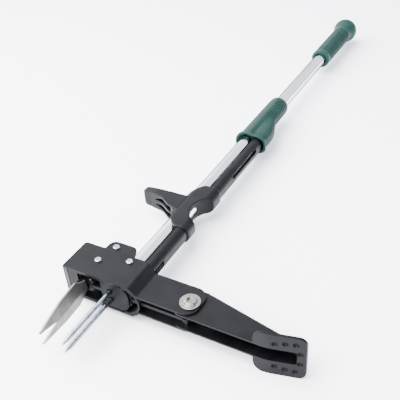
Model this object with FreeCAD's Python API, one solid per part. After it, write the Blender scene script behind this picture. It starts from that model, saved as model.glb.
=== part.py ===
"""Stand up weeder, lying on its side: shaft along Y with the claws at -Y, pedal towards +X, Z up."""

import FreeCAD, Part
import math
import os

# ---- driving dimensions, millimetres, measured from the shaft axis and the head's front edge ----
TUBE_R = 11.0
TUBE_BORE_R = 9.5
TUBE_START = 26.0
TUBE_END = 848.0
RUN = 0.3  # clearance of the sliding parts round the tube
FIT = 0.05  # clearance of parts fixed to each other
TURN = 0.06  # clearance of parts that turn on each other

PLATE = 2.5  # sheet thickness of head and pedal
HEAD_Z = 22.5  # outer face of the head plates
ARM_Z = 14.0  # outer face of the arm plates after the jog
HEAD_LEFT = -69.0
HEAD_FRONT = -2.0
HEAD_BACK = 45.0
ARM_BACK = 40.0
ARM_END = 108.0
JOG_IN, JOG_OUT = 25.0, 36.0
TAB_LEFT, TAB_RIGHT, TAB_TOP = -38.5, -3.0, 61.0
BAND_START = 15.5

CLAW_PIVOT = (-33.0, 23.0)
TAB_SCREW = (-26.0, 51.0)
TUBE_SCREW = (3.0, 36.0)
PEDAL_PIVOT = (95.0, 16.0)
LINK_Y = 4.6
CLAW_LINK = (CLAW_PIVOT[0], LINK_Y)
PEDAL_LINK = (PEDAL_PIVOT[0], LINK_Y)

SCREW_R = 2.05
SCREW_HEAD_R, SCREW_HEAD_H = 4.2, 2.4
NUT_AF, NUT_H = 8.0, 3.6
BOLT_R = 3.9
BOLT_FLANGE_R, BOLT_FLANGE_H = 12.0, 2.2
BOLT_HEAD_R, BOLT_HEAD_H = 7.0, 3.0
SLEEVE_R, PIVOT_SLEEVE_R, SPACER_R = 4.5, 5.0, 4.0
WASHER_R, WASHER_H = 9.5, 1.6
BOLT_NUT_AF, BOLT_NUT_H, BOLT_SOCKET = 13.0, 6.4, 7.0
LINK_PIN_R, LINK_EYE_R, LINK_Z, LINK_HALF = 2.0, 4.3, 2.2, 2.9
LINK_SLACK = 0.35  # at the claw's pin, where the linkage closes

PIN_X, PIN_Z, PIN_R = -2.0, 6.2, 2.8
PIN_TIP, PIN_TAPER, PIN_BACK = -88.0, 9.0, 48.0

CLAW_ROOT, CLAW_TIP, CLAW_NOTCH = -0.5, -88.0, -57.0
CLAW_SHEET = 2.2
CLAW_HALF, CLAW_NECK, CLAW_SHOULDER = 17.4, 9.0, -17.0
CLAW_RIDGE = ((CLAW_ROOT, -36.0), (CLAW_TIP, -30.2))  # X of the crease at the root and at the tips
CLAW_CREASE = 3.0
CHEEK_Z, HUB_R, HUB_Z = 8.0, 8.0, 14.0

EJECT_FRONT, EJECT_BACK = -1.5, 1.0
EJECT_LEFT, EJECT_RIGHT, EJECT_Z = -61.0, 23.0, 19.6
EJECT_SLOT = (-47.0, -14.5, 17.8)
EJECT_PIN_GAP = 1.0

RAIL_INNER, RAIL_X, RAIL_Z, RAIL_WALL, RAIL_ROUND = 12.5, 26.0, 11.5, 2.2, 9.0
LOWER_RAIL_END = 137.0
UPPER_RAIL_START, UPPER_RAIL_END = 205.0, 378.0
SLOT_START, SLOT_END = 262.0, 342.0
LINK_SLOT_END = 72.0
GUIDE_Y, GUIDE_Z, GUIDE_R, GUIDE_HEAD_R = 268.0, -3.5, 1.8, 3.0
SPRING_X, SPRING_Z, SPRING_R, SPRING_WIRE, SPRING_PITCH = 18.4, 3.4, 3.7, 0.6, 5.2

CARRIAGE_START, CARRIAGE_END = 127.0, 221.0
CARRIAGE_LEFT, CARRIAGE_RIGHT, CARRIAGE_Z = -14.0, 28.5, 12.9
NOTCH_CENTRE, NOTCH_HALF = (31.0, 172.0), (21.0, 25.5)

MID_START, MID_END, MID_R = 362.0, 491.0, 16.6
HOOD_X, HOOD_Z, LIP, LIP_H = 29.2, 14.6, 2.4, 5.0
TOP_START, TOP_R, RIM_R = 692.0, 17.0, 17.8
KNOB_Y, KNOB_R = 842.0, 23.0

PEDAL_Z, PEDAL_SHEET = 11.2, 2.0
PEDAL_LEFT, PEDAL_BACK, PEDAL_TAIL = 79.0, 40.0, 17.0
PEDAL_BUSH_R = 6.6
PAD_START, PAD_END, PAD_Z = 178.0, 233.5, 30.0
PAD_SHEET = 3.2
PAD_FRONT, CURL_START, CURL = -2.8, 192.0, 0.235  # front face, where it starts to curl back, and how steeply
STUDS = [(202, 17.0), (212.5, 19.5), (223, 20.5), (227.5, 7.5)]
STUD_R, STUD_DEPTH = 3.6, 2.4

V = FreeCAD.Vector
PARTS = {}


def box(x0, x1, y0, y1, z0, z1):
    return Part.makeBox(x1 - x0, y1 - y0, z1 - z0, V(x0, y0, z0))


def cyl_z(x, y, r, z0, z1):
    return Part.makeCylinder(r, z1 - z0, V(x, y, z0), V(0, 0, 1))


def cyl_y(x, z, r, y0, y1):
    return Part.makeCylinder(r, y1 - y0, V(x, y0, z), V(0, 1, 0))


def cyl_x(y, z, r, x0, x1):
    return Part.makeCylinder(r, x1 - x0, V(x0, y, z), V(1, 0, 0))


def rounded_face(corners):
    """Face in the plane z = 0 from corners given as (u, v) or (u, v, corner radius)."""
    points = [V(c[0], c[1], 0) for c in corners]
    radii = [c[2] if len(c) > 2 else 0.0 for c in corners]
    edges = []
    starts = []
    ends = []
    middles = []
    for i, point in enumerate(points):
        before = (points[i - 1] - point).normalize()
        after = (points[(i + 1) % len(points)] - point).normalize()
        if radii[i] == 0.0:
            starts.append(point)
            ends.append(point)
            middles.append(None)
            continue
        half = before.getAngle(after) / 2
        back = radii[i] / math.tan(half)
        centre = point + (before + after).normalize() * (radii[i] / math.sin(half))
        starts.append(point + before * back)
        ends.append(point + after * back)
        middles.append(centre + (point - centre).normalize() * radii[i])
    for i in range(len(points)):
        if middles[i] is not None:
            edges.append(Part.Arc(starts[i], middles[i], ends[i]).toShape())
        nxt = starts[(i + 1) % len(points)]
        if (nxt - ends[i]).Length > 1e-6:
            edges.append(Part.makeLine(ends[i], nxt))
    return Part.Face(Part.Wire(edges))


def prism_z(corners, z0, z1):
    """Corners in X, Y, extruded along Z."""
    solid = rounded_face(corners).extrude(V(0, 0, z1 - z0))
    solid.translate(V(0, 0, z0))
    return solid


def prism_y(corners, y0, y1):
    """Corners in X, Z, extruded along Y."""
    solid = rounded_face(corners).extrude(V(0, 0, y1 - y0))
    solid.rotate(V(0, 0, 0), V(1, 0, 0), 90)
    solid.translate(V(0, y1, 0))
    return solid


def prism_x(corners, x0, x1):
    """Corners in Y, Z, extruded along X."""
    solid = rounded_face(corners).extrude(V(0, 0, x1 - x0))
    solid.rotate(V(0, 0, 0), V(1, 1, 1), 120)
    solid.translate(V(x0, 0, 0))
    return solid


def hex_z(x, y, flats, z0, z1):
    r = flats / math.sqrt(3)
    corners = []
    for k in range(6):
        a = math.radians(60 * k)
        corners.append((x + r * math.cos(a), y + r * math.sin(a)))
    return prism_z(corners, z0, z1)


def fuse(*solids):
    return solids[0].multiFuse(list(solids[1:])).removeSplitter()


def put(node, shape):
    PARTS[node] = shape


# ---- head ----
def head_outline(z0, z1):
    outline = [
        (HEAD_LEFT, HEAD_FRONT, 3),
        (ARM_END, HEAD_FRONT, 15),
        (ARM_END, ARM_BACK, 15),
        (JOG_OUT, ARM_BACK, 8),
        (JOG_IN - 3, HEAD_BACK, 8),
        (3.5, HEAD_BACK, 3),
        (TAB_RIGHT + 1, TAB_TOP, 9),
        (TAB_LEFT + 1, TAB_TOP, 9),
        (TAB_LEFT, HEAD_BACK, 2),
        (HEAD_LEFT, HEAD_BACK, 7),
    ]
    return prism_z(outline, z0, z1)


def plate_holes(shape):
    for x, y in (CLAW_PIVOT, TAB_SCREW, TUBE_SCREW):
        shape = shape.cut(cyl_z(x, y, SCREW_R + FIT, -30, 30))
    return shape.cut(cyl_z(*PEDAL_PIVOT, BOLT_R + FIT, -30, 30))


def head_plates():
    inner = HEAD_Z - PLATE
    upper = [
        (HEAD_LEFT, -HEAD_Z),
        (HEAD_LEFT, HEAD_Z, 3.0),
        (JOG_IN, HEAD_Z, 5),
        (JOG_OUT, ARM_Z, 5),
        (ARM_END + 2, ARM_Z),
        (ARM_END + 2, ARM_Z - PLATE),
        (JOG_OUT - 1, ARM_Z - PLATE, 3),
        (JOG_IN - 1, inner, 3),
        (HEAD_LEFT + PLATE, inner, 0.6),
        (HEAD_LEFT + PLATE, -HEAD_Z),
    ]
    left = HEAD_LEFT + PLATE + FIT
    lower = [
        (left, -HEAD_Z),
        (JOG_IN, -HEAD_Z, 5),
        (JOG_OUT, -ARM_Z, 5),
        (ARM_END + 2, -ARM_Z),
        (ARM_END + 2, PLATE - ARM_Z),
        (JOG_OUT - 1, PLATE - ARM_Z, 3),
        (JOG_IN - 1, -inner, 3),
        (left, -inner),
    ]
    for node, section in (("head_plate_upper", upper), ("head_plate_lower", lower)):
        sheet = prism_y(section, HEAD_FRONT - 2, TAB_TOP + 2)
        put(node, plate_holes(sheet.common(head_outline(-30, 30))))


def head_band():
    z = HEAD_Z - PLATE - FIT
    a = ARM_Z - PLATE - FIT
    outer = [(BAND_START, -z), (JOG_IN - 1.2, -z, 3), (JOG_OUT - 1.2, -a, 3), (38, -4, 5), (38, 4, 5),
             (JOG_OUT - 1.2, a, 3), (JOG_IN - 1.2, z, 3), (BAND_START, z)]
    inner = [(0, 2.4 - z), (JOG_IN - 2.2, 2.4 - z, 4), (JOG_OUT - 3.8, 1.2 - a, 3), (35.6, -3, 3), (35.6, 3, 3),
             (JOG_OUT - 3.8, a - 1.2, 3), (JOG_IN - 2.2, z - 2.4, 4), (0, z - 2.4)]
    band = prism_y(outer, HEAD_FRONT, 14).cut(prism_y(inner, HEAD_FRONT - 1, 15))
    put("head_end_band", band.cut(box(28, 42, 1.0, 10.0, -4.2, 4.2)))


def head_inside():
    z = HEAD_Z - PLATE - FIT
    wall = HEAD_LEFT + PLATE + FIT
    tall = z - 0.7
    liner = fuse(box(wall, wall + 1.5, -1.5, 34, -tall, tall), box(wall, -62.2, -1.5, 0.0, -tall, tall))
    put("claw_liner", liner)
    for node, sign in (("tube_saddle_upper", 1), ("tube_saddle_lower", -1)):
        block = box(-14, 14, TUBE_START + 1, HEAD_BACK - 1, 2.5, z)
        block = block.cut(cyl_y(0, 0, TUBE_R + FIT, 0, 60))
        block = block.cut(box(RAIL_INNER - 0.8, 20, 0, 60, 0, RAIL_Z + 0.7))
        block = block.cut(cyl_z(TUBE_SCREW[0], TUBE_SCREW[1], SCREW_R + FIT, 0, 30))
        if sign < 0:
            block = block.mirror(V(0, 0, 0), V(0, 0, 1))
        put(node, block)
    sleeve = cyl_z(*CLAW_PIVOT, SLEEVE_R, -z, z).cut(cyl_z(*CLAW_PIVOT, SCREW_R + FIT, -30, 30))
    put("claw_pivot_sleeve", sleeve)
    spacer = cyl_z(*TAB_SCREW, SPACER_R, -z, z).cut(cyl_z(*TAB_SCREW, SCREW_R + FIT, -30, 30))
    put("tab_spacer", spacer)


def head_fasteners():
    screws = []
    nuts = []
    for x, y in (CLAW_PIVOT, TAB_SCREW, TUBE_SCREW):
        head = cyl_z(x, y, SCREW_HEAD_R, HEAD_Z, HEAD_Z + SCREW_HEAD_H)
        head = head.makeFillet(1.2, [head.Edges[0]])
        slot = box(x - 6, x + 6, y - 0.55, y + 0.55, HEAD_Z + SCREW_HEAD_H - 1.0, HEAD_Z + 5)
        shank = cyl_z(x, y, SCREW_R, -HEAD_Z - NUT_H - 0.8, HEAD_Z)
        screws.append(fuse(head.cut(slot), shank))
        nut = hex_z(x, y, NUT_AF, -HEAD_Z - NUT_H, -HEAD_Z)
        nuts.append(nut.cut(cyl_z(x, y, SCREW_R + FIT, -40, 0)))
    put("head_screws", Part.makeCompound(screws))
    put("head_nuts", Part.makeCompound(nuts))


def pedal_pivot():
    x, y = PEDAL_PIVOT
    top = ARM_Z + BOLT_FLANGE_H
    flange = cyl_z(x, y, BOLT_FLANGE_R, ARM_Z, top)
    crown = Part.makeCone(BOLT_HEAD_R + 1.2, BOLT_HEAD_R, BOLT_HEAD_H, V(x, y, top), V(0, 0, 1))
    stack = -ARM_Z - WASHER_H
    shank = cyl_z(x, y, BOLT_R, stack - BOLT_NUT_H - 0.5, ARM_Z)
    bolt = fuse(flange, crown, shank)
    recess = hex_z(x, y, BOLT_SOCKET, top + 0.6, top + BOLT_HEAD_H + 1)
    put("pivot_bolt", bolt.cut(recess))
    washer = cyl_z(x, y, WASHER_R, stack, -ARM_Z).cut(cyl_z(x, y, BOLT_R + FIT, -40, 0))
    put("pivot_washer", washer)
    nut = hex_z(x, y, BOLT_NUT_AF, stack - BOLT_NUT_H, stack).cut(cyl_z(x, y, BOLT_R + FIT, -40, 0))
    put("pivot_nut", nut)
    z = ARM_Z - PLATE - FIT
    put("pivot_sleeve", cyl_z(x, y, PIVOT_SLEEVE_R, -z, z).cut(cyl_z(x, y, BOLT_R + FIT, -20, 20)))


# ---- shaft ----
def shaft():
    tube = cyl_y(0, 0, TUBE_R, TUBE_START, TUBE_END).cut(cyl_y(0, 0, TUBE_BORE_R, 0, 900))
    tube = tube.cut(cyl_z(TUBE_SCREW[0], TUBE_SCREW[1], SCREW_R + FIT, -20, 20))
    put("main_tube", tube.cut(cyl_x(GUIDE_Y, GUIDE_Z, GUIDE_R + FIT, 0, 20)))
    top = [
        (0, TOP_START), (RIM_R, TOP_START, 1.5), (RIM_R, TOP_START + 5, 1.5), (TOP_R, TOP_START + 8, 3),
        (TOP_R, KNOB_Y - 24, 12), (KNOB_R, KNOB_Y - 8, 12), (KNOB_R, KNOB_Y + 16, 12),
        (9, KNOB_Y + 23, 12), (0, KNOB_Y + 23.5),
    ]
    grip = rounded_face(top).revolve(V(0, 0, 0), V(0, 1, 0), 360)
    put("top_grip", grip.cut(cyl_y(0, 0, TUBE_R + FIT, 0, TUBE_END + 0.5)))
    put("tube_end_plug", cyl_y(0, 0, TUBE_BORE_R - FIT, TUBE_END - 22, TUBE_END))


def pins():
    block = cyl_y(0, 0, TUBE_BORE_R - FIT, TUBE_START + 0.5, 52)
    block = block.cut(cyl_z(TUBE_SCREW[0], TUBE_SCREW[1], SCREW_R + FIT, -20, 20))
    for node, z in (("pin_upper", PIN_Z), ("pin_lower", -PIN_Z)):
        block = block.cut(cyl_y(PIN_X, z, PIN_R + FIT, 0, 60))
        body = cyl_y(PIN_X, z, PIN_R, PIN_TIP + PIN_TAPER, PIN_BACK)
        point = Part.makeCone(0.5, PIN_R, PIN_TAPER, V(PIN_X, PIN_TIP, z), V(0, 1, 0))
        put(node, fuse(body, point))
    put("pin_block", block)


# ---- slider ----
def rail_section(grow):
    x, z = RAIL_X + grow, RAIL_Z + grow
    left = RAIL_INNER - grow
    return [(left, -z), (x, -z, RAIL_ROUND), (x, z, RAIL_ROUND), (left, z)]


def rail(y0, y1):
    x, z = RAIL_X - RAIL_WALL, RAIL_Z - RAIL_WALL
    inside = [(0, -z), (x, -z, RAIL_ROUND - RAIL_WALL), (x, z, RAIL_ROUND - RAIL_WALL), (0, z)]
    return prism_y(rail_section(0), y0, y1).cut(prism_y(inside, y0 - 1, y1 + 1))


def rails():
    lower = rail(EJECT_BACK, LOWER_RAIL_END)
    put("lower_rail", lower.cut(box(15, 30, 0, LINK_SLOT_END, -4.0, 4.0)))
    upper = rail(UPPER_RAIL_START, UPPER_RAIL_END)
    slot = [(SLOT_START, 0.6, 3), (SLOT_END, 0.6, 3), (SLOT_END, 7.2, 3), (SLOT_START, 7.2, 3)]
    put("upper_rail", upper.cut(prism_x(slot, 16, 32)))
    height = SLOT_END - SLOT_START - 2
    helix = Part.makeHelix(SPRING_PITCH, height, SPRING_R)
    ring = Part.Wire([Part.makeCircle(SPRING_WIRE, V(SPRING_R, 0, 0), V(0, 1, 0))])
    coil = Part.Wire(helix.Edges).makePipeShell([ring], True, True)
    coil.rotate(V(0, 0, 0), V(1, 0, 0), -90)
    coil.translate(V(SPRING_X, SLOT_START + 1, SPRING_Z))
    put("return_spring", coil)
    guide = fuse(
        cyl_x(GUIDE_Y, GUIDE_Z, GUIDE_R, 7.8, 11.2),
        cyl_x(GUIDE_Y, GUIDE_Z, GUIDE_HEAD_R, 11.0, 13.0),
    )
    put("guide_screw", guide)


def ejector():
    outline = [
        (EJECT_LEFT, -EJECT_Z, 3), (EJECT_RIGHT, -EJECT_Z, 16),
        (EJECT_RIGHT, EJECT_Z, 16), (EJECT_LEFT, EJECT_Z, 3),
    ]
    plate = prism_y(outline, EJECT_FRONT, EJECT_BACK)
    left, right, half = EJECT_SLOT
    slot = [(left, -half, 2.5), (right, -half, 2.5), (right, half, 2.5), (left, half, 2.5)]
    plate = plate.cut(prism_y(slot, -5, 5))
    for z in (PIN_Z, -PIN_Z):
        plate = plate.cut(cyl_y(PIN_X, z, PIN_R + EJECT_PIN_GAP, -5, 5))
    put("ejector_plate", plate)


def hand_stop():
    """Wing for the hand on the carriage's left, its two pockets open towards the claws."""
    plan = [
        (-6, 190), (-60, 188, 8), (-72, 186.5, 3.6), (-72, 178, 3.6), (-58, 176.5, 12), (-38, 172.5, 25),
        (-24, 163, 12), (-12, 158), (-6, 158),
    ]
    width = [
        (0, -CARRIAGE_Z), (-50, -13.6, 60), (-72.5, -12.6, 7), (-72.5, 12.6, 7), (-50, 13.6, 60), (0, CARRIAGE_Z),
    ]
    wing = prism_z(plan, -20, 20).common(prism_y(width, 140, 200))
    depth = [(-16.5, 186.6), (-52, 185, 4), (-56, 176), (-56, 150), (-16.5, 150)]
    for side in (1, -1):
        pocket = [(-52, side * 3.6), (-16.5, side * 1.3), (-16.5, side * 10.3), (-36, side * 10.0, 6)]
        if side < 0:
            pocket.reverse()
        wing = wing.cut(prism_z(depth, -20, 20).common(prism_y(pocket, 140, 200)))
    return wing


def carriage():
    section = [
        (CARRIAGE_LEFT, -CARRIAGE_Z, 11.5), (CARRIAGE_RIGHT, -CARRIAGE_Z, 10.5),
        (CARRIAGE_RIGHT, CARRIAGE_Z, 10.5), (CARRIAGE_LEFT, CARRIAGE_Z, 11.5),
    ]
    plan = [
        (CARRIAGE_RIGHT, CARRIAGE_START, 5), (CARRIAGE_RIGHT, CARRIAGE_END, 6), (3, CARRIAGE_END, 10),
        (-8, 203, 16), (CARRIAGE_LEFT, 188), (CARRIAGE_LEFT, 160, 5), (-3, 137, 14), (8, CARRIAGE_START, 8),
    ]
    collar = prism_z(plan, -20, 20).common(prism_y(section, CARRIAGE_START, CARRIAGE_END))
    body = fuse(collar, hand_stop())
    body = body.cut(cyl_y(0, 0, TUBE_R + RUN, 100, 240))
    body = body.cut(prism_y(rail_section(FIT), CARRIAGE_START - 1, LOWER_RAIL_END + FIT))
    body = body.cut(prism_y(rail_section(FIT), UPPER_RAIL_START - FIT, CARRIAGE_END + 1))
    ring = Part.makeCylinder(1, 40, V(0, 0, -20), V(0, 0, 1)).toNurbs()
    scale = FreeCAD.Matrix()
    scale.A11, scale.A22 = NOTCH_HALF
    notch = ring.transformGeometry(scale)
    notch.translate(V(NOTCH_CENTRE[0], NOTCH_CENTRE[1], 0))
    put("carriage", body.cut(notch))


def mid_grip():
    sleeve = cyl_y(0, 0, MID_R, MID_START + 3, MID_END)
    sleeve = sleeve.makeFillet(1.5, [e for e in sleeve.Edges if abs(e.BoundBox.YMin - MID_END) < 0.01])
    cover_plan = [(0, MID_START + 3), (HOOD_X, MID_START + 3), (HOOD_X, 412, 14), (14, 432, 10), (0, 440)]
    cover = [(0, -HOOD_Z, 1), (HOOD_X, -HOOD_Z, 11), (HOOD_X, HOOD_Z, 11), (0, HOOD_Z, 1)]
    hood = prism_z(cover_plan, -20, 20).common(prism_y(cover, MID_START, 450))
    x, z = HOOD_X + LIP, HOOD_Z + LIP
    lip = fuse(
        cyl_y(0, 0, MID_R + 3, MID_START, MID_START + LIP_H),
        prism_y([(0, -z, 1), (x, -z, 13), (x, z, 13), (0, z, 1)], MID_START, MID_START + LIP_H),
    )
    grip = fuse(sleeve, hood, lip)
    grip = grip.cut(cyl_y(0, 0, TUBE_R + RUN, 300, 500))
    grip = grip.cut(cyl_y(0, 0, 14.4, MID_START - 1, MID_START + 7))
    put("mid_grip", grip.cut(prism_y(rail_section(FIT), MID_START - 1, UPPER_RAIL_END + FIT)))


# ---- pedal ----
def pedal():
    tip = pad_face(PAD_END - 1)
    side = [
        (PEDAL_LEFT + 2, PAD_FRONT, 10), (CURL_START, PAD_FRONT, 60), (PAD_END - 1, tip, 2),
        (PAD_END - 1, PEDAL_TAIL, 4), (198, 19.5, 30), (104, PEDAL_BACK, 8), (PEDAL_LEFT, 36, 15),
    ]
    inside = [(70, -20), (224, -20), (224, 14.5, 3), (197, 17.2, 30), (103, PEDAL_BACK - 2.4, 20), (70, 36.2)]
    gap = PEDAL_Z - PEDAL_SHEET
    shell = prism_z(side, -PEDAL_Z, PEDAL_Z).cut(prism_z(inside, -gap, gap))
    shell = shell.cut(box(60, 108, 24, 60, -gap, gap))
    curve = [
        (170, PAD_FRONT), (CURL_START, PAD_FRONT, 60), (240, pad_face(240)),
        (240, pad_face(240) + PAD_SHEET * 1.04), (CURL_START - 1, PAD_FRONT + PAD_SHEET, 60),
        (170, PAD_FRONT + PAD_SHEET),
    ]
    plan = [(PAD_START, -PAD_Z, 12), (PAD_END, -PAD_Z, 9), (PAD_END, PAD_Z, 9), (PAD_START, PAD_Z, 12)]
    pad = prism_z(curve, -PAD_Z - 1, PAD_Z + 1).common(prism_y(plan, -30, 40))
    pad = pad.cut(prism_y([(160, -gap), (224, -gap, 3), (224, gap, 3), (160, gap)], -30, 8.6))
    body = fuse(shell, pad)
    for x, z in STUDS:
        for s in (1, -1):
            body = body.cut(Part.makeSphere(STUD_R, V(x, pad_face(x) - STUD_R + STUD_DEPTH, s * z)))
    body = body.cut(cyl_z(*PEDAL_PIVOT, PEDAL_BUSH_R + FIT, -20, 20))
    put("pedal_channel", body.cut(cyl_z(*PEDAL_LINK, LINK_PIN_R + FIT, -20, 20)))
    bushes = []
    for z0, z1 in ((gap - 1.0, PEDAL_Z + 0.2), (-PEDAL_Z - 0.2, 1.0 - gap)):
        bush = cyl_z(*PEDAL_PIVOT, PEDAL_BUSH_R, z0, z1)
        bushes.append(bush.cut(cyl_z(*PEDAL_PIVOT, PIVOT_SLEEVE_R + TURN, -20, 20)))
    put("pedal_bushes", Part.makeCompound(bushes))
    put("pedal_link_pin", cyl_z(*PEDAL_LINK, LINK_PIN_R, -PEDAL_Z, PEDAL_Z))


def pad_face(x):
    """Y of the pad's front face at a distance along the pedal, past the start of its curl."""
    return PAD_FRONT + (x - CURL_START) * CURL


# ---- claw and link ----
def claw():
    sections = []
    t = CLAW_SHEET
    for y, ridge in CLAW_RIDGE:
        edge = ridge - CLAW_CREASE
        back = ridge - t * 1.1
        corners = [
            (ridge, 0), (edge, CLAW_HALF), (edge - t, CLAW_HALF),
            (back, 0), (edge - t, -CLAW_HALF), (edge, -CLAW_HALF),
        ]
        points = [V(x, y, z) for x, z in corners]
        sections.append(Part.makePolygon(points + [points[0]]))
    blade = Part.makeLoft(sections, True, True)
    half = [
        (CLAW_ROOT + 1, CLAW_NECK), (-4, CLAW_NECK, 4), (CLAW_SHOULDER, CLAW_HALF + 0.4, 5),
        (-46, CLAW_HALF - 0.6, 60), (-66, 13.6, 60), (CLAW_TIP, 9.4, 0.8), (CLAW_TIP, 7.4, 0.8),
    ]
    profile = half + [(CLAW_NOTCH, 0, 1.2)]
    for corner in reversed(half):
        profile.append((corner[0], -corner[1]) + corner[2:])
    put("claw_fork", blade.common(prism_x(profile, -60, -20)))
    x, y = CLAW_PIVOT
    cheek = [
        (-46, -8, 2), (-37, -8), (-37, 1.3), (-29, 1.6, 4),
        (-25.2, y, 5), (x, y + 9, 8), (-41.5, y, 6), (-46, 8, 4),
    ]
    body = prism_z(cheek, -CHEEK_Z, CHEEK_Z).cut(blade)
    body = body.cut(box(-38.4, -20, -10, y - 8.2, -2.6, 2.6))
    hub = cyl_z(x, y, HUB_R, -HUB_Z, HUB_Z)
    body = fuse(body, hub).cut(cyl_z(x, y, SLEEVE_R + TURN, -30, 30))
    put("claw_carrier", body.cut(cyl_z(*CLAW_LINK, LINK_PIN_R + FIT, -20, 20)))
    put("claw_link_pin", cyl_z(*CLAW_LINK, LINK_PIN_R, -CHEEK_Z - 0.6, CHEEK_Z + 0.6))
    bar = box(CLAW_LINK[0], PEDAL_LINK[0], LINK_Y - LINK_HALF, LINK_Y + LINK_HALF, -LINK_Z, LINK_Z)
    for centre, slack in ((CLAW_LINK, LINK_SLACK), (PEDAL_LINK, TURN)):
        bar = fuse(bar, cyl_z(*centre, LINK_EYE_R, -LINK_Z, LINK_Z))
        bar = bar.cut(cyl_z(*centre, LINK_PIN_R + slack, -LINK_Z - 1, LINK_Z + 1))
    put("link_bar", bar)


def export():
    bounds = None
    for shape in PARTS.values():
        b = shape.BoundBox
        if bounds is None:
            bounds = FreeCAD.BoundBox(b)
        else:
            bounds.add(b)
    centre = bounds.Center
    os.makedirs("parts", exist_ok=True)
    for node, shape in PARTS.items():
        shape = shape.copy()
        shape.translate(V(-centre.x, -centre.y, -bounds.ZMin))
        shape.exportStep("parts/" + node + ".step")
        print(node, shape.isValid(), len(shape.Solids), round(shape.Volume))
    print("origin", centre.x, centre.y, bounds.ZMin)
    print("size", bounds.XLength, bounds.YLength, bounds.ZLength)


head_plates()
head_band()
head_inside()
head_fasteners()
pedal_pivot()
shaft()
pins()
rails()
ejector()
carriage()
mid_grip()
pedal()
claw()
export()
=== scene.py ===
"""Stand up weeder, lying on its side on a pale studio floor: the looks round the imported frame."""

import logging
import math
from dataclasses import dataclass, field
from enum import Enum
from typing import Callable

import bmesh
import bpy
from mathutils import Matrix, Vector


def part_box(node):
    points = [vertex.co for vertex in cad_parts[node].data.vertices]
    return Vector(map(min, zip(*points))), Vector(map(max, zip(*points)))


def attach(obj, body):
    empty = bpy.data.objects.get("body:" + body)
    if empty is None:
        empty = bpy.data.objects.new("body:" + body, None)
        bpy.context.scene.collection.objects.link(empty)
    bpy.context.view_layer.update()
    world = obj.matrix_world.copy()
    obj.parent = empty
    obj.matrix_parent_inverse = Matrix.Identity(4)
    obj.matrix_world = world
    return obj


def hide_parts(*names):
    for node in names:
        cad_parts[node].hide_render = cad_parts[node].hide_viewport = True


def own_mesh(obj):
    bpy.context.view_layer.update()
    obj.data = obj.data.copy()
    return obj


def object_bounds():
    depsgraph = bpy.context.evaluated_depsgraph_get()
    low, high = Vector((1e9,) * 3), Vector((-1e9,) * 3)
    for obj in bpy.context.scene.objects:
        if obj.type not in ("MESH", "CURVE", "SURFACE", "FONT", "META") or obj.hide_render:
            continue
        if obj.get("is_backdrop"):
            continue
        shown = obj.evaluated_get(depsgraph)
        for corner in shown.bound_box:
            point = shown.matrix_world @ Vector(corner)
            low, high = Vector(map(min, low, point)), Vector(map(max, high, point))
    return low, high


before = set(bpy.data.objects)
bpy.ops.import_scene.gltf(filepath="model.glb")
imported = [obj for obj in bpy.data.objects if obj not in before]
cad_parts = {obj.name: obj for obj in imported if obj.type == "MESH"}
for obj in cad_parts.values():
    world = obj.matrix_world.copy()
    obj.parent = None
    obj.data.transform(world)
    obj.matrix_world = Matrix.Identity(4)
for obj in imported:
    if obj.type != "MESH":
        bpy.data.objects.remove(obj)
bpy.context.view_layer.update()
LOG = logging.getLogger("weeder")
MM = 0.001


class Body(Enum):
    """The rigid bodies that pieces ride on."""

    SHAFT = "shaft"
    SLIDER = "slider"
    PEDAL = "pedal"
    CLAW = "claw"
    LINK = "link"


def linear(colour: str) -> tuple[float, float, float, float]:
    """Turns an sRGB hex colour into linear light.

    Args:
        colour: Six hex digits with a leading #.

    Returns:
        Red, green, blue and alpha, linear.
    """
    parts = [int(colour[i : i + 2], 16) / 255 for i in (1, 3, 5)]
    return (*[c / 12.92 if c <= 0.04045 else ((c + 0.055) / 1.055) ** 2.4 for c in parts], 1.0)


def per_mm(size: float) -> float:
    """Texture scale, in cycles per metre, of a feature that is size millimetres wide."""
    return 1000.0 / size


def add_node(tree: bpy.types.NodeTree, kind: str, values: dict | None = None, links: dict | None = None,
             **settings: object) -> bpy.types.Node:
    """Adds a node with its settings and links.

    Args:
        tree: The node tree it goes in.
        kind: Blender's type name of the node.
        values: Input socket name or number to its constant.
        links: Input socket name or number to the output socket that feeds it.
        **settings: The node's own properties.

    Returns:
        The new node.
    """
    node = tree.nodes.new(kind)
    for key, value in settings.items():
        setattr(node, key, value)
    for key, value in (values or {}).items():
        node.inputs[key].default_value = value
    for key, socket in (links or {}).items():
        tree.links.new(socket, node.inputs[key])
    return node


def two_tones(tree: bpy.types.NodeTree, amount: bpy.types.NodeSocket, low: tuple[float, str],
              high: tuple[float, str]) -> bpy.types.Node:
    """Adds a ramp between two colours.

    Args:
        tree: The node tree it goes in.
        amount: The socket that drives it.
        low: Position and hex colour of the lower end.
        high: Position and hex colour of the upper end.

    Returns:
        The ramp node.
    """
    ramp = add_node(tree, "ShaderNodeValToRGB", links={"Fac": amount})
    for stop, (position, colour) in zip(ramp.color_ramp.elements, (low, high)):
        stop.position, stop.color = position, linear(colour)
    return ramp


def mixed(tree: bpy.types.NodeTree, amount: bpy.types.NodeSocket, none: object,
          full: object) -> bpy.types.NodeSocket:
    """Mixes two colours, each a socket or a hex colour.

    Args:
        tree: The node tree it goes in.
        amount: 0 gives the first colour and 1 the second.
        none: The first colour.
        full: The second colour.

    Returns:
        The colour socket.
    """
    mix = add_node(tree, "ShaderNodeMix", links={"Factor": amount}, data_type="RGBA")
    for socket, colour in zip((mix.inputs[6], mix.inputs[7]), (none, full)):
        if isinstance(colour, str):
            socket.default_value = linear(colour)
        else:
            tree.links.new(colour, socket)
    return mix.outputs[2]


# ---------------------------------------------------------------- finishes


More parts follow.
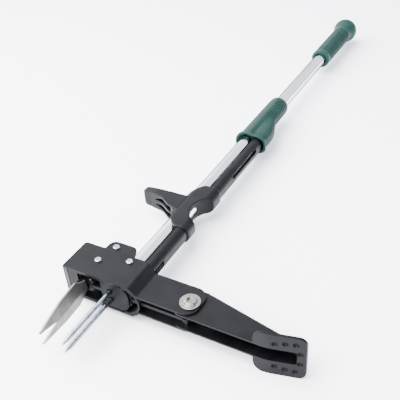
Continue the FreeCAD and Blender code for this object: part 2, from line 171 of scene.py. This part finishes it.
@dataclass(frozen=True)
class Finish:
    """A real material with the way its surface was made."""

    name: str
    slot: str
    base: str
    second: str
    metallic: float = 0.0
    rough_low: float = 0.3
    rough_high: float = 0.5
    specular: float = 0.5
    grain_mm: float = 0.3
    grain_depth_mm: float = 0.01
    patch_mm: float = 18.0
    stretch: tuple[float, float, float] = (1.0, 1.0, 1.0)
    # Grazing-angle reflection tint; a dark value paints a dark reflection line along the silhouettes.
    grazing_reflection: str = "#FFFFFF"

    def material(self) -> bpy.types.Material:
        """Builds the finish once and hands out the same material after that.

        Returns:
            The material.
        """
        found = bpy.data.materials.get(self.name)
        return found if found else self.build()

    def build(self) -> bpy.types.Material:
        """Makes the nodes every finish shares, then the finish's own.

        Returns:
            The new material.
        """
        made = bpy.data.materials.new(self.name)
        made.use_nodes = True
        tree = made.node_tree
        tree.nodes.clear()
        place = add_node(tree, "ShaderNodeTexCoord").outputs["Object"]
        across = add_node(tree, "ShaderNodeMapping", {"Scale": self.stretch}, {"Vector": place})
        grain = add_node(tree, "ShaderNodeTexNoise", {"Scale": per_mm(self.grain_mm), "Detail": 3.0},
                         {"Vector": across.outputs["Vector"]})
        patch = add_node(tree, "ShaderNodeTexNoise", {"Scale": per_mm(self.patch_mm), "Detail": 2.0},
                         {"Vector": place})
        rough = add_node(tree, "ShaderNodeMapRange",
                         {"From Min": 0.3, "From Max": 0.7, "To Min": self.rough_low, "To Max": self.rough_high},
                         {"Value": patch.outputs["Fac"]})
        bump = add_node(tree, "ShaderNodeBump", {"Strength": 0.6, "Distance": self.grain_depth_mm * MM},
                        {"Height": grain.outputs["Fac"]})
        shader = add_node(tree, "ShaderNodeBsdfPrincipled",
                          {"Metallic": self.metallic, "Specular IOR Level": self.specular,
                           "Specular Tint": linear(self.grazing_reflection)},
                          {"Roughness": rough.outputs["Result"], "Normal": bump.outputs["Normal"],
                           "Base Color": self.tone(tree, place, patch.outputs["Fac"])})
        add_node(tree, "ShaderNodeOutputMaterial", links={"Surface": shader.outputs["BSDF"]})
        return made

    def tone(self, tree: bpy.types.NodeTree, place: bpy.types.NodeSocket,
             patch: bpy.types.NodeSocket) -> bpy.types.NodeSocket:
        """The colour over the surface: the two tones in soft patches.

        Args:
            tree: The material's node tree.
            place: Object coordinates; not used here.
            patch: The broad noise.

        Returns:
            The colour socket.
        """
        return two_tones(tree, patch, (0.35, self.base), (0.68, self.second)).outputs["Color"]


@dataclass(frozen=True)
class RibbedRubber(Finish):
    """Thermoplastic rubber: painted shade in the grooves between the ribs, so the crests read paler."""

    # The colour of the painted shade in the grooves.
    groove: str = "#03100E"

    def tone(self, tree: bpy.types.NodeTree, place: bpy.types.NodeSocket,
             patch: bpy.types.NodeSocket) -> bpy.types.NodeSocket:
        """Patchy green, with painted shade darkening the grooves by the piece's own rib_height attribute."""
        green = Finish.tone(self, tree, place, patch)
        height = add_node(tree, "ShaderNodeAttribute", attribute_name="rib_height").outputs["Fac"]
        # Painted shade: the groove colour is mixed in where rib_height is low.
        return mixed(tree, height, self.groove, green)


@dataclass(frozen=True)
class StainlessPaintedReflection(Finish):
    """Stamped stainless: satin, with faint brown patches that paint the brownish reflection seen on the blade.
    """

    tint: str = "#54473D"
    tint_mm: float = 26.0

    def tone(self, tree: bpy.types.NodeTree, place: bpy.types.NodeSocket,
             patch: bpy.types.NodeSocket) -> bpy.types.NodeSocket:
        """Satin grey with brown patches a few millimetres wide, a painted reflection."""
        grey = Finish.tone(self, tree, place, patch)
        spots = add_node(tree, "ShaderNodeTexNoise", {"Scale": per_mm(self.tint_mm), "Detail": 1.0},
                         {"Vector": place})
        amount = add_node(tree, "ShaderNodeMapRange", {"From Min": 0.52, "From Max": 0.72, "To Max": 0.55},
                          {"Value": spots.outputs["Fac"]})
        # Painted reflection: brown mixed over the grey in soft noise patches.
        return mixed(tree, amount.outputs["Result"], grey, self.tint)


# Drawn and polished aluminium: mirror-like along the tube, with hairlines that run its whole length and a
# dark grazing-angle tint that paints a thin dark reflection line along each silhouette.
ALUMINIUM = Finish("DrawnAluminium", "polished_aluminium", "#F4F5F8", "#ECEDF1", metallic=1.0,
                   rough_low=0.08, rough_high=0.14, grain_mm=0.5, grain_depth_mm=0.004, patch_mm=30,
                   stretch=(1, 0.01, 1), grazing_reflection="#15151A")
# Moulded thermoplastic rubber: soft sheen, a fine spark-eroded grain, painted shade in the grooves that leaves
# the crests paler.
GREEN = RibbedRubber("MouldedGreenRubber", "green_grip", "#0B2B27", "#11342F", rough_low=0.4,
                     rough_high=0.54, specular=0.16, grain_mm=0.4, grain_depth_mm=0.02)
# Powder coat on pressed steel: matt with a faint orange-peel sparkle.
POWDER = Finish("BlackPowderCoat", "black_powder_coat", "#040406", "#08080B", rough_low=0.4,
                rough_high=0.52, specular=0.1, grain_mm=0.7, grain_depth_mm=0.03)
# Injection-moulded glass-filled nylon: satin black with a fine tool grain.
NYLON = Finish("MouldedBlackNylon", "black_nylon", "#050507", "#09090C", rough_low=0.3, rough_high=0.42,
               specular=0.12, grain_mm=0.5, grain_depth_mm=0.015)
# Phosphated and oiled steel plate: near-black grey, faintly blue, with a dull shine.
COATED = Finish("PhosphatedSteel", "grey_coated_steel", "#040508", "#08090D", rough_low=0.38,
                rough_high=0.5, specular=0.08, grain_mm=0.6, grain_depth_mm=0.02)
# Stamped stainless sheet: satin, brushed along the blade, with brown patches of painted reflection.
STAINLESS = StainlessPaintedReflection("StampedStainless", "stainless_sheet", "#7C7876", "#6C6866", metallic=1.0,
                            rough_low=0.4, rough_high=0.5, grain_mm=0.4, grain_depth_mm=0.012,
                            patch_mm=12, stretch=(1, 0.06, 1))
# Cold-rolled liner strip: the same steel, dull, with painted shade making it darker inside the head.
LINER = Finish("LinerPaintedShade", "stainless_sheet", "#4A4A4E", "#3C3C40", metallic=1.0, rough_low=0.4,
               rough_high=0.5, grain_mm=0.4, grain_depth_mm=0.01, patch_mm=9)
# Turned stainless bolt head: the same steel with no tint.
BOLT_STEEL = Finish("TurnedStainless", "stainless_sheet", "#8E8A85", "#7B7773", metallic=1.0,
                    rough_low=0.16, rough_high=0.26, grain_mm=0.35, grain_depth_mm=0.008, patch_mm=6)
# Bright zinc plate: cool, near mirror, faintly mottled.
ZINC = Finish("BrightZincPlate", "zinc_plate", "#A3ADB9", "#7F8A97", metallic=1.0, rough_low=0.16,
              rough_high=0.28, grain_mm=0.6, grain_depth_mm=0.006, patch_mm=3)
# Ground steel rod with a light zinc wash: blue-grey, mirror-like lengthwise lines, and a dark grazing-angle tint
# that paints a dark reflection along each silhouette.
ROD = Finish("GroundSteelRod", "zinc_plate", "#8E969E", "#6B737C", metallic=1.0, rough_low=0.12,
             rough_high=0.2, grain_mm=0.4, grain_depth_mm=0.006, patch_mm=8, stretch=(1, 0.05, 1),
             grazing_reflection="#0C0D10")
# Oiled spring wire: mid grey, with draw lines.
WIRE = Finish("OiledSpringWire", "spring_steel", "#8C8E95", "#6C6E75", metallic=1.0, rough_low=0.28,
              rough_high=0.4, grain_mm=0.2, grain_depth_mm=0.01, patch_mm=4)
# Turned steel inside the head: plain grey with tool marks.
TURNED = Finish("TurnedSteel", "machined_steel", "#84858A", "#75767C", metallic=1.0, rough_low=0.3,
                rough_high=0.42, grain_mm=0.3, grain_depth_mm=0.01, patch_mm=5, stretch=(1, 1, 0.2))


# ---------------------------------------------------------------- making pieces


def settle(piece: bpy.types.Object, body: Body, finish: Finish, nodes: tuple[str, ...]) -> bpy.types.Object:
    """Dresses a finished piece and puts it on its body in place of its CAD nodes.

    Args:
        piece: The mesh object, at the origin.
        body: The rigid body it moves with.
        finish: Its material.
        nodes: The CAD nodes it stands for.

    Returns:
        The same piece.
    """
    piece.data.materials.clear()
    piece.data.materials.append(finish.material())
    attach(piece, body.value)
    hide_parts(*nodes)
    LOG.info("%s rides on %s in %s", piece.name, body.value, finish.name)
    return piece


def as_object(name: str, bm: bmesh.types.BMesh, sharp_deg: float = 35.0) -> bpy.types.Object:
    """Turns a bmesh into a linked, smooth-shaded object.

    Args:
        name: The piece's name.
        bm: The mesh, which is freed.
        sharp_deg: Edges that turn more than this stay sharp.

    Returns:
        The new object.
    """
    mesh = bpy.data.meshes.new(name)
    bm.to_mesh(mesh)
    bm.free()
    mesh.shade_smooth()
    mesh.set_sharp_from_angle(angle=math.radians(sharp_deg))
    made = bpy.data.objects.new(name, mesh)
    bpy.context.scene.collection.objects.link(made)
    return made


def merged(node: str) -> bmesh.types.BMesh:
    """A merged copy of a CAD node's mesh, with its flat faces whole again.

    Args:
        node: The CAD node.

    Returns:
        The bmesh.
    """
    bm = bmesh.new()
    bm.from_mesh(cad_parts[node].data)
    bmesh.ops.remove_doubles(bm, verts=bm.verts, dist=0.000005)
    bmesh.ops.dissolve_limit(bm, angle_limit=math.radians(0.5), verts=bm.verts, edges=bm.edges)
    return bm


def evaluated(piece: bpy.types.Object) -> None:
    """Applies a piece's modifiers to its mesh.

    Args:
        piece: The object.
    """
    graph = bpy.context.evaluated_depsgraph_get()
    mesh = bpy.data.meshes.new_from_object(piece.evaluated_get(graph))
    piece.modifiers.clear()
    piece.data = mesh


@dataclass
class Pressing:
    """A piece whose CAD shape is right and that gets broken edges and a finish."""

    name: str
    node: str
    body: Body
    finish: Finish
    edge_mm: float = 0.4
    segments: int = 2
    sharp_deg: float = 30.0
    bevel_from_deg: float = 38.0

    def build(self) -> bpy.types.Object:
        """Breaks the edges of a copy of the CAD shape.

        Returns:
            The piece.
        """
        piece = as_object(self.name, merged(self.node), self.sharp_deg)
        bevel = piece.modifiers.new("edges", "BEVEL")
        bevel.width, bevel.segments = self.edge_mm * MM, self.segments
        bevel.limit_method, bevel.angle_limit = "ANGLE", math.radians(self.bevel_from_deg)
        bevel.harden_normals = True
        return settle(piece, self.body, self.finish, (self.node,))


@dataclass
class Moulding:
    """A moulded plastic piece: the CAD shape with its edges melted into soft radii."""

    name: str
    node: str
    body: Body
    finish: Finish
    voxel_mm: float = 0.8
    rounds: int = 6

    def build(self) -> bpy.types.Object:
        """Remeshes a copy of the CAD shape evenly and relaxes it.

        Returns:
            The piece.
        """
        piece = as_object(self.name, merged(self.node), 180.0)
        remesh = piece.modifiers.new("even", "REMESH")
        remesh.mode, remesh.voxel_size, remesh.use_smooth_shade = "VOXEL", self.voxel_mm * MM, True
        soften = piece.modifiers.new("soften", "CORRECTIVE_SMOOTH")
        soften.factor, soften.iterations, soften.use_only_smooth = 0.5, self.rounds, True
        evaluated(piece)
        piece.data.shade_smooth()
        return settle(piece, self.body, self.finish, (self.node,))


@dataclass
class Turning:
    """A shape turned about an axis parallel to the shaft, from half its outline."""

    name: str
    outline_mm: list[tuple[float, float]]
    axis: Vector
    steps: int = 96

    def build(self) -> bmesh.types.BMesh:
        """Spins the outline, given as distance along Y and radius, once round the axis.

        Returns:
            The closed bmesh.
        """
        bm = bmesh.new()
        verts = [bm.verts.new((self.axis.x + r * MM, self.axis.y + along * MM, self.axis.z))
                 for along, r in self.outline_mm]
        edges = [bm.edges.new(pair) for pair in zip(verts, verts[1:])]
        bmesh.ops.spin(bm, geom=verts + edges, cent=self.axis, axis=(0, 1, 0), angle=2 * math.pi,
                       steps=self.steps, use_merge=True)
        bmesh.ops.remove_doubles(bm, verts=bm.verts, dist=0.00001)
        bmesh.ops.recalc_face_normals(bm, faces=bm.faces)
        return bm


def note_ribs(piece: bpy.types.Object, heights: list[float]) -> None:
    """Stores how high each vertex stands on its rib, from 0 in a groove to 1 on a crest; the rubber finish
    paints shade into the low ones.
    """
    layer = piece.data.attributes.new("rib_height", "FLOAT", "POINT")
    layer.data.foreach_set("value", heights)


def smooth_step(low: float, high: float, value: float) -> float:
    """0 below low, 1 above high, and an even S between."""
    t = min(1.0, max(0.0, (value - low) / (high - low)))
    return t * t * (3 - 2 * t)


@dataclass
class TopGrip:
    """The fixed grip at the top of the shaft: ribbed barrel, lower rim and smooth knob."""

    rim_mm: float = 17.2
    barrel_mm: float = 16.7
    knob_mm: float = 23.0
    rib_pitch_mm: float = 4.4
    rib_mm: float = 0.6
    cells: int = 9
    bore_mm: float = 11.05
    ribs_from_mm: float = 8.0
    knob_length_mm: float = 49.0
    knob_neck_deg: float = 118.0
    rows_per_rib: int = 8

    def build(self) -> bpy.types.Object:
        """Turns the outline and works the ribs into the barrel.

        Returns:
            The piece.
        """
        low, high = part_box("top_grip")
        axis = Vector(((low.x + high.x) / 2, low.y, (low.z + high.z) / 2))
        length = (high.y - low.y) / MM
        outline = [(2.0, self.bore_mm), (0.0, self.bore_mm + 1.2), (0.0, self.rim_mm - 1.4),
                   (0.5, self.rim_mm - 0.4), (1.6, self.rim_mm), (4.0, self.rim_mm), (6.4, self.barrel_mm + 0.2)]
        barrel_end = length - self.knob_length_mm
        ribbed = barrel_end - self.ribs_from_mm
        count = int(ribbed / (self.rib_pitch_mm / self.rows_per_rib))
        outline += [(self.ribs_from_mm + ribbed * i / count, self.barrel_mm) for i in range(count + 1)]
        centre = length - self.knob_mm
        neck = [(barrel_end + 5, self.barrel_mm + 0.3), (barrel_end + 10, self.barrel_mm + 1.3),
                (barrel_end + 14.5, self.barrel_mm + 3.1)]
        start = math.radians(self.knob_neck_deg)
        ball = [(centre + self.knob_mm * math.cos(a), max(0.02, self.knob_mm * math.sin(a)))
                for a in [start * (1 - i / 22) for i in range(23)]]
        bm = Turning("TopGrip", outline + neck + ball, axis).build()
        heights = []
        for vert in bm.verts:
            along = (vert.co.y - low.y) / MM
            out = Vector((vert.co.x - axis.x, 0, vert.co.z - axis.z))
            amount = smooth_step(self.ribs_from_mm + 1, self.ribs_from_mm + 5, along)
            amount *= 1 - smooth_step(barrel_end - 5, barrel_end, along)
            if out.length / MM < self.barrel_mm - 0.5 or amount == 0:
                heights.append(0.8)
                continue
            turn = math.atan2(out.z, out.x)
            wave = math.sin(2 * math.pi * along / self.rib_pitch_mm + 0.9 * math.sin(self.cells * turn))
            heights.append(0.5 + 0.5 * wave)
            vert.co += out.normalized() * wave * self.rib_mm * amount * MM
        piece = as_object("TopGrip", bm, 60.0)
        note_ribs(piece, heights)
        return settle(piece, Body.SHAFT, GREEN, ("top_grip",))


@dataclass
class SlidingGrip:
    """The green grip that slides on the tube: wave ribs, a hood over the rail's end, a flared lower lip."""

    radius_mm: float = 16.3
    bore_mm: float = 11.35
    lip_mm: float = 3.0
    rib_pitch_mm: float = 5.4
    rib_mm: float = 0.55
    hood_reach_mm: float = 28.8
    hood_half_mm: float = 14.2
    hood_length_mm: float = 62.0
    hood_power: float = 3.2
    waves: int = 5
    wave_depth: float = 0.42
    rows_per_rib: int = 10
    steps: int = 128

    def reach(self, along: float, turn: float) -> float:
        """Outer radius, without ribs, at a distance along the grip and an angle from the pedal side.

        Args:
            along: Millimetres from the lower end.
            turn: Radians from +X towards +Z.

        Returns:
            The radius in millimetres.
        """
        c, s = abs(math.cos(turn)), abs(math.sin(turn))
        hood = self.radius_mm
        if math.cos(turn) > 0:
            power = self.hood_power
            hood = ((c / self.hood_reach_mm) ** power + (s / self.hood_half_mm) ** power) ** (-1 / power)
        raised = max(self.radius_mm, hood)
        fade = 1 - smooth_step(self.hood_length_mm - 30, self.hood_length_mm + 22, along)
        flare = self.lip_mm * (1 - smooth_step(2.6, 6.5, along))
        return self.radius_mm + (raised - self.radius_mm) * fade + flare

    def build(self) -> bpy.types.Object:
        """Extrudes a ring along the grip, shaping each ring to the hood, the lip and the ribs.

        Returns:
            The piece.
        """
        low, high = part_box("mid_grip")
        tube_low, tube_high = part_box("main_tube")
        axis = (tube_low + tube_high) / 2
        length = (high.y - low.y) / MM
        rows = [0.0, 0.5, 1.3, 2.6, 3.6, 4.8, 6.5]
        ribbed = length - 9.5
        count = int(ribbed / (self.rib_pitch_mm / self.rows_per_rib))
        rows += [7.5 + ribbed * i / count for i in range(count + 1)]
        rows += [length - 1.0, length - 0.3, length]
        bm = bmesh.new()
        made = bmesh.ops.create_circle(bm, segments=self.steps, radius=1.0)
        bmesh.ops.transform(bm, matrix=Matrix.Rotation(math.radians(90), 4, "X"), verts=made["verts"])
        loop = list({e for v in made["verts"] for e in v.link_edges})
        verts = made["verts"]
        heights: dict[bmesh.types.BMVert, float] = {}
        stations: list[tuple[float, Callable[[float], float]]] = []
        stations.append((8.0, lambda turn: self.bore_mm))
        stations.append((7.6, lambda turn: self.reach(6.5, turn) - 3.0))
        stations.append((0.4, lambda turn: self.reach(0.0, turn) - 3.4))
        for row in rows:
            trim = 1.0 if row < 0.4 or row > length - 0.2 else 0.3 if row < 1 or row > length - 0.5 else 0.0
            stations.append((row, lambda turn, row=row, trim=trim: self.reach(row, turn) - trim))
        stations.append((length, lambda turn: self.bore_mm + 0.8))
        stations.append((length - 1.0, lambda turn: self.bore_mm))
        for number, (along, radius) in enumerate(stations):
            if number:
                made = bmesh.ops.extrude_edge_only(bm, edges=loop)["geom"]
                verts = [g for g in made if isinstance(g, bmesh.types.BMVert)]
                loop = [g for g in made if isinstance(g, bmesh.types.BMEdge)
                        and all(v in set(verts) for v in g.verts)]
            outside = 2 < number < len(stations) - 2
            for vert in verts:
                middle = axis if number else Vector()
                turn = math.atan2(vert.co.z - middle.z, vert.co.x - middle.x)
                grip = 0.0
                if outside:
                    grip = smooth_step(8, 12, along) * (1 - smooth_step(length - 9, length - 5, along))
                shift = self.wave_depth * math.sin(self.waves * turn)
                wave = math.sin(2 * math.pi * (along / self.rib_pitch_mm + shift))
                crest = math.copysign(abs(wave) ** 0.6, wave)
                heights[vert] = 0.5 + 0.5 * crest * grip if grip else 0.75
                r = (radius(turn) + crest * self.rib_mm * grip) * MM
                vert.co = Vector((axis.x + r * math.cos(turn), low.y + along * MM,
                                  axis.z + r * math.sin(turn)))
        first = [v for v in bm.verts if abs((v.co - axis).xz.length / MM - self.bore_mm) < 0.05]
        ends = [e for e in bm.edges if e.is_boundary and all(v in first for v in e.verts)]
        bmesh.ops.bridge_loops(bm, edges=ends)
        bmesh.ops.recalc_face_normals(bm, faces=bm.faces)
        bm.verts.ensure_lookup_table()
        order = [heights.get(v, 0.5) for v in bm.verts]
        piece = as_object("SlidingGrip", bm, 60.0)
        note_ribs(piece, order)
        return settle(piece, Body.SLIDER, GREEN, ("mid_grip",))


@dataclass
class ReturnSpring:
    """The coil seen through the rail's slot, riding on the slider."""

    wire_mm: float = 0.62
    pitch_mm: float = 5.2
    travel_mm: float = 60.0
    steps_per_turn: int = 20

    def build(self) -> bpy.types.Object:
        """Sweeps a small circle round and along the coil's axis.

        Returns:
            The piece.
        """
        low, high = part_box("return_spring")
        centre = (low + high) / 2
        radius = (high.x - low.x) / 2 - self.wire_mm * MM
        length = high.y - low.y - 2 * self.wire_mm * MM
        turns = length / (self.pitch_mm * MM)
        steps = int(turns * self.steps_per_turn)
        bm = bmesh.new()
        ring = bmesh.ops.create_circle(bm, segments=10, radius=self.wire_mm * MM)["verts"]
        start = Vector((centre.x + radius, low.y + self.wire_mm * MM, centre.z))
        bmesh.ops.translate(bm, vec=start, verts=ring)
        edges = list({e for v in ring for e in v.link_edges})
        bmesh.ops.spin(bm, geom=edges, cent=(centre.x, start.y, centre.z), axis=(0, 1, 0),
                       dvec=(0, length / steps, 0), angle=2 * math.pi * turns, steps=steps)
        bmesh.ops.holes_fill(bm, edges=[e for e in bm.edges if e.is_boundary], sides=12)
        bmesh.ops.recalc_face_normals(bm, faces=bm.faces)
        piece = as_object("ReturnSpring", bm, 60.0)
        settle(piece, Body.SLIDER, WIRE, ("return_spring",))
        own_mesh(piece)
        return piece


@dataclass
class Weeder:
    """The whole tool: what is dressed from the frame and what is built here."""

    pressings: list[Pressing] = field(default_factory=lambda: [
        Pressing("HeadPlateUpper", "head_plate_upper", Body.SHAFT, POWDER, 0.5, 3),
        Pressing("HeadPlateLower", "head_plate_lower", Body.SHAFT, POWDER, 0.5, 3),
        Pressing("HeadBand", "head_end_band", Body.SHAFT, POWDER, 0.4),
        Pressing("ClawLiner", "claw_liner", Body.SHAFT, LINER, 0.2),
        Pressing("TubeSaddleUpper", "tube_saddle_upper", Body.SHAFT, NYLON),
        Pressing("TubeSaddleLower", "tube_saddle_lower", Body.SHAFT, NYLON),
        Pressing("HeadScrews", "head_screws", Body.SHAFT, ZINC, 0.15),
        Pressing("HeadNuts", "head_nuts", Body.SHAFT, ZINC, 0.3),
        Pressing("ClawPivotSleeve", "claw_pivot_sleeve", Body.SHAFT, TURNED, 0.2),
        Pressing("TabSpacer", "tab_spacer", Body.SHAFT, TURNED, 0.2),
        Pressing("PinBlock", "pin_block", Body.SHAFT, TURNED, 0.2),
        Pressing("PinUpper", "pin_upper", Body.SHAFT, ROD, 0.1),
        Pressing("PinLower", "pin_lower", Body.SHAFT, ROD, 0.1),
        Pressing("PivotBolt", "pivot_bolt", Body.SHAFT, BOLT_STEEL, 0.3, 3),
        Pressing("PivotWasher", "pivot_washer", Body.SHAFT, BOLT_STEEL, 0.2),
        Pressing("PivotNut", "pivot_nut", Body.SHAFT, ZINC, 0.4),
        Pressing("PivotSleeve", "pivot_sleeve", Body.SHAFT, TURNED, 0.2),
        Pressing("GuideScrew", "guide_screw", Body.SHAFT, ZINC, 0.2),
        Pressing("MainTube", "main_tube", Body.SHAFT, ALUMINIUM, 0.2),
        Pressing("TubeEndPlug", "tube_end_plug", Body.SHAFT, NYLON, 0.3),
        Pressing("UpperRail", "upper_rail", Body.SLIDER, NYLON, 0.35),
        Pressing("LowerRail", "lower_rail", Body.SLIDER, NYLON, 0.35),
        Pressing("EjectorPlate", "ejector_plate", Body.SLIDER, COATED, 0.3),
        Pressing("PedalChannel", "pedal_channel", Body.PEDAL, POWDER, 0.5, 3),
        Pressing("PedalBushes", "pedal_bushes", Body.PEDAL, NYLON, 0.2),
        Pressing("PedalLinkPin", "pedal_link_pin", Body.PEDAL, ZINC, 0.2),
        Pressing("ClawFork", "claw_fork", Body.CLAW, STAINLESS, 0.25),
        Pressing("ClawCarrier", "claw_carrier", Body.CLAW, POWDER, 0.4),
        Pressing("ClawLinkPin", "claw_link_pin", Body.CLAW, ZINC, 0.2),
        Pressing("LinkBar", "link_bar", Body.LINK, POWDER, 0.3),
    ])
    mouldings: list[Moulding] = field(default_factory=lambda: [
        Moulding("Carriage", "carriage", Body.SLIDER, NYLON, 0.6, 5),
    ])
    top_grip: TopGrip = field(default_factory=TopGrip)
    sliding_grip: SlidingGrip = field(default_factory=SlidingGrip)
    spring: ReturnSpring = field(default_factory=ReturnSpring)

    def build(self) -> None:
        """Builds every piece."""
        for part in [*self.pressings, *self.mouldings, self.top_grip, self.sliding_grip, self.spring]:
            part.build()


@dataclass(frozen=True)
class SoftBox:
    """A square diffused lamp that faces the tool."""

    name: str
    place: tuple[float, float, float]
    size: float
    watts: float

    def build(self) -> None:
        """Hangs the lamp."""
        light = bpy.data.lights.new(self.name, "AREA")
        light.shape, light.size, light.energy = "SQUARE", self.size, self.watts
        lamp = bpy.data.objects.new(self.name, light)
        bpy.context.scene.collection.objects.link(lamp)
        lamp.location = self.place
        lamp.rotation_euler = (-Vector(self.place)).to_track_quat("-Z", "Y").to_euler()


@dataclass
class Studio:
    """The pale floor, the soft light and the camera."""

    camera_from_top: tuple[float, float, float] = (0.36369, -1.23671, 0.51155)
    azimuth_deg: float = 31.27
    elevation_deg: float = 36.49
    roll_deg: float = -4.54
    lens_mm: float = 56.4
    floor_hex: str = "#F7F8FC"
    floor_half: float = 6.0
    floor_gap: float = 0.0002

    def build(self) -> None:
        """Makes the floor, lights, world and camera."""
        self.floor()
        self.lights()
        self.world()
        self.camera()

    def floor(self) -> None:
        """A wide seamless sheet of pale paper at the level the tool lies on."""
        bm = bmesh.new()
        bmesh.ops.create_grid(bm, x_segments=1, y_segments=1, size=self.floor_half)
        bmesh.ops.translate(bm, vec=(0, 0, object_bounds()[0].z - self.floor_gap), verts=bm.verts)
        piece = as_object("Floor", bm)
        paper = bpy.data.materials.new("SeamlessPaper")
        paper.use_nodes = True
        tree = paper.node_tree
        tree.nodes.clear()
        place = add_node(tree, "ShaderNodeTexCoord").outputs["Object"]
        fibre = add_node(tree, "ShaderNodeTexNoise", {"Scale": per_mm(2.0)}, {"Vector": place})
        bump = add_node(tree, "ShaderNodeBump", {"Strength": 0.05, "Distance": 0.1 * MM},
                        {"Height": fibre.outputs["Fac"]})
        shader = add_node(tree, "ShaderNodeBsdfPrincipled",
                          {"Base Color": linear(self.floor_hex), "Roughness": 0.7, "Specular IOR Level": 0.2},
                          {"Normal": bump.outputs["Normal"]})
        add_node(tree, "ShaderNodeOutputMaterial", links={"Surface": shader.outputs["BSDF"]})
        piece.data.materials.append(paper)
        piece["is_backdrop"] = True

    def lights(self) -> None:
        """A very large soft box above the left, and a smaller one that lifts the faces at the claw end."""
        SoftBox("KeyBox", (-0.9, -0.7, 1.7), 2.4, 330.0).build()
        SoftBox("FrontBox", (0.4, -2.0, 1.1), 1.4, 36.0).build()

    def world(self) -> None:
        """A white dome, brighter on the left and dimmer at the horizon."""
        world = bpy.data.worlds.new("Dome")
        bpy.context.scene.world = world
        world.use_nodes = True
        tree = world.node_tree
        tree.nodes.clear()
        way = add_node(tree, "ShaderNodeTexCoord").outputs["Generated"]
        parts = add_node(tree, "ShaderNodeSeparateXYZ", links={"Vector": way})
        ramp = two_tones(tree, parts.outputs["Z"], (0.0, "#A9ABB3"), (0.22, "#F4F6FF"))
        left = add_node(tree, "ShaderNodeMapRange",
                        {"From Min": -0.95, "From Max": -0.25, "To Min": 7.0, "To Max": 2.3},
                        {"Value": parts.outputs["X"]})
        back = add_node(tree, "ShaderNodeBackground", links={"Color": ramp.outputs["Color"],
                                                             "Strength": left.outputs["Result"]})
        add_node(tree, "ShaderNodeOutputWorld", links={"Surface": back.outputs["Background"]})

    def camera(self) -> None:
        """The camera, placed from the tube's top end and looking up the shaft from beyond the claws."""
        data = bpy.data.cameras.new("Camera")
        data.lens, data.sensor_width = self.lens_mm, 36.0
        data.clip_start, data.clip_end = 0.02, 50.0
        camera = bpy.data.objects.new("Camera", data)
        bpy.context.scene.collection.objects.link(camera)
        a, e, r = (math.radians(x) for x in (self.azimuth_deg, self.elevation_deg, self.roll_deg))
        forward = Vector((-math.sin(a) * math.cos(e), math.cos(a) * math.cos(e), -math.sin(e)))
        right = Vector((math.cos(a), math.sin(a), 0.0))
        up = right.cross(forward)
        tilted = right * math.cos(r) + up * math.sin(r)
        upright = up * math.cos(r) - right * math.sin(r)
        turn = Matrix((tilted, upright, -forward)).transposed().to_4x4()
        low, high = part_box("main_tube")
        top = Vector(((low.x + high.x) / 2, high.y, (low.z + high.z) / 2))
        camera.matrix_world = Matrix.Translation(top + Vector(self.camera_from_top)) @ turn
        bpy.context.scene.camera = camera


def main() -> None:
    """Builds the tool and its studio."""
    logging.basicConfig(level=logging.INFO)
    Weeder().build()
    Studio().build()


if __name__ == "__main__":
    main()
